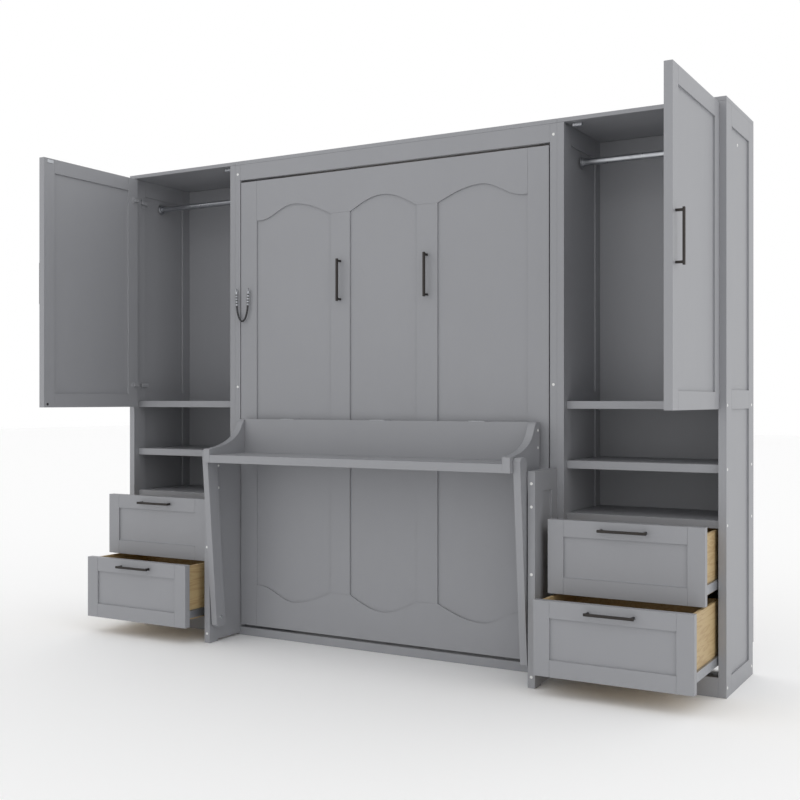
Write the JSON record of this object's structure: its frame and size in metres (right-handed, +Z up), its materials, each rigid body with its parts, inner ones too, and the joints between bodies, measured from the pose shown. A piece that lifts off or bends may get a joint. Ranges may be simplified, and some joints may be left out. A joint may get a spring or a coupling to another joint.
{
  "type": "wall bed",
  "caption": "Upright fold-down wall bed with a self-levelling desk on its front, between tall wardrobes with doors, shelves and drawers.",
  "frame": {"origin": "on the floor under the middle of the furniture's box with its doors open", "axes": "+X to the right across the width, +Y to the wall, +Z up"},
  "size_m": [2.8026, 0.989, 2.1],
  "materials": {
    "grey_paint": "satin grey paint",
    "pine": "clear lacquered pine",
    "dark_metal": "matte dark bronze",
    "bright_steel": "bright steel",
    "strap_sheath": "black sheath"
  },
  "bodies": {
    "cabinet": {"left_centre_side": "grey_paint", "left_support": "grey_paint", "right_centre_side": "grey_paint", "right_support": "grey_paint", "centre_top": "grey_paint", "fascia": "grey_paint", "plinth": "grey_paint", "back_rail": "grey_paint", "left_inner_side": "grey_paint", "left_outer_side": "grey_paint", "left_top": "grey_paint", "left_mid_shelf": "grey_paint", "left_open_shelf": "grey_paint", "left_drawer_shelf": "grey_paint", "left_back": "grey_paint", "left_kick_rail": "grey_paint", "left_hanging_rail": "bright_steel", "right_inner_side": "grey_paint", "right_outer_side": "grey_paint", "right_top": "grey_paint", "right_mid_shelf": "grey_paint", "right_open_shelf": "grey_paint", "right_drawer_shelf": "grey_paint", "right_back": "grey_paint", "right_kick_rail": "grey_paint", "right_hanging_rail": "bright_steel"},
    "bed": {"bed_front": "grey_paint", "left_bed_rail": "grey_paint", "left_bed_handle": "dark_metal", "right_bed_rail": "grey_paint", "right_bed_handle": "dark_metal", "bed_foot_rail": "grey_paint", "bed_slats": "pine", "safety_strap": "strap_sheath"},
    "desk": {"desk_backboard": "grey_paint", "desk_worktop": "grey_paint", "left_desk_cheek": "grey_paint", "right_desk_cheek": "grey_paint"},
    "desk_legs": {"left_desk_leg": "grey_paint", "right_desk_leg": "grey_paint"},
    "left_door_leaf": {"left_door": "grey_paint", "left_door_handle": "dark_metal"},
    "left_upper_drawer": {"left_upper_drawer_front": "grey_paint", "left_upper_drawer_box": "pine", "left_upper_drawer_handle": "dark_metal"},
    "left_lower_drawer": {"left_lower_drawer_front": "grey_paint", "left_lower_drawer_box": "pine", "left_lower_drawer_handle": "dark_metal"},
    "left_strut_body": {"left_strut_cylinder": "dark_metal"},
    "left_strut_piston": {"left_strut_rod": "bright_steel"},
    "right_door_leaf": {"right_door": "grey_paint", "right_door_handle": "dark_metal"},
    "right_upper_drawer": {"right_upper_drawer_front": "grey_paint", "right_upper_drawer_box": "pine", "right_upper_drawer_handle": "dark_metal"},
    "right_lower_drawer": {"right_lower_drawer_front": "grey_paint", "right_lower_drawer_box": "pine", "right_lower_drawer_handle": "dark_metal"},
    "right_strut_body": {"right_strut_cylinder": "dark_metal"},
    "right_strut_piston": {"right_strut_rod": "bright_steel"}
  },
  "joints": [
    {"name": "bed_fold", "type": "hinge", "parent": "cabinet", "child": "bed", "pos_m": [0, 0.1155, 0.262], "axis": [1, 0, 0], "range_deg": [0, 90]},
    {"name": "desk_level", "type": "hinge", "parent": "bed", "child": "desk", "pos_m": [0, 0.0555, 0.955], "axis": [1, 0, 0], "range_deg": [-90, 0]},
    {"name": "leg_swing", "type": "hinge", "parent": "cabinet", "child": "desk_legs", "pos_m": [0, -0.0995, 0.11], "axis": [1, 0, 0], "range_deg": [0, 90]},
    {"name": "left_door_hinge", "type": "hinge", "parent": "cabinet", "child": "left_door_leaf", "pos_m": [-1.36825, 0.07825, 1.543], "axis": [0, 0, 1], "range_deg": [0, 90]},
    {"name": "left_upper_drawer_slide", "type": "slide", "parent": "cabinet", "child": "left_upper_drawer", "axis": [0, -1, 0], "range_m": [-0.165, 0.175]},
    {"name": "left_lower_drawer_slide", "type": "slide", "parent": "cabinet", "child": "left_lower_drawer", "axis": [0, -1, 0], "range_m": [-0.298, 0.042]},
    {"name": "left_strut_swing", "type": "hinge", "parent": "cabinet", "child": "left_strut_body", "pos_m": [-0.721, 0.3755, 0.7], "axis": [1, 0, 0], "range_deg": [0, 8.61]},
    {"name": "left_strut_stroke", "type": "slide", "parent": "left_strut_body", "child": "left_strut_piston", "axis": [0, -0.3714, -0.9285], "range_m": [-0.217, 0]},
    {"name": "right_door_hinge", "type": "hinge", "parent": "cabinet", "child": "right_door_leaf", "pos_m": [1.36825, 0.07825, 1.543], "axis": [0, 0, 1], "range_deg": [-90, 0]},
    {"name": "right_upper_drawer_slide", "type": "slide", "parent": "cabinet", "child": "right_upper_drawer", "axis": [0, -1, 0], "range_m": [-0.165, 0.175]},
    {"name": "right_lower_drawer_slide", "type": "slide", "parent": "cabinet", "child": "right_lower_drawer", "axis": [0, -1, 0], "range_m": [-0.298, 0.042]},
    {"name": "right_strut_swing", "type": "hinge", "parent": "cabinet", "child": "right_strut_body", "pos_m": [0.721, 0.3755, 0.7], "axis": [1, 0, 0], "range_deg": [0, 8.61]},
    {"name": "right_strut_stroke", "type": "slide", "parent": "right_strut_body", "child": "right_strut_piston", "axis": [0, -0.3714, -0.9285], "range_m": [-0.217, 0]}
  ],
  "couplings": [
    {"joint": "desk_level", "follows": "bed_fold", "ratio": -1},
    {"joint": "leg_swing", "follows": "bed_fold", "ratio": 1},
    {"joint": "left_strut_swing", "follows": "bed_fold", "ratio": 0.09562},
    {"joint": "left_strut_stroke", "follows": "bed_fold", "m_per_rad": -0.13807},
    {"joint": "right_strut_swing", "follows": "bed_fold", "ratio": 0.09562},
    {"joint": "right_strut_stroke", "follows": "bed_fold", "m_per_rad": -0.13807}
  ]
}
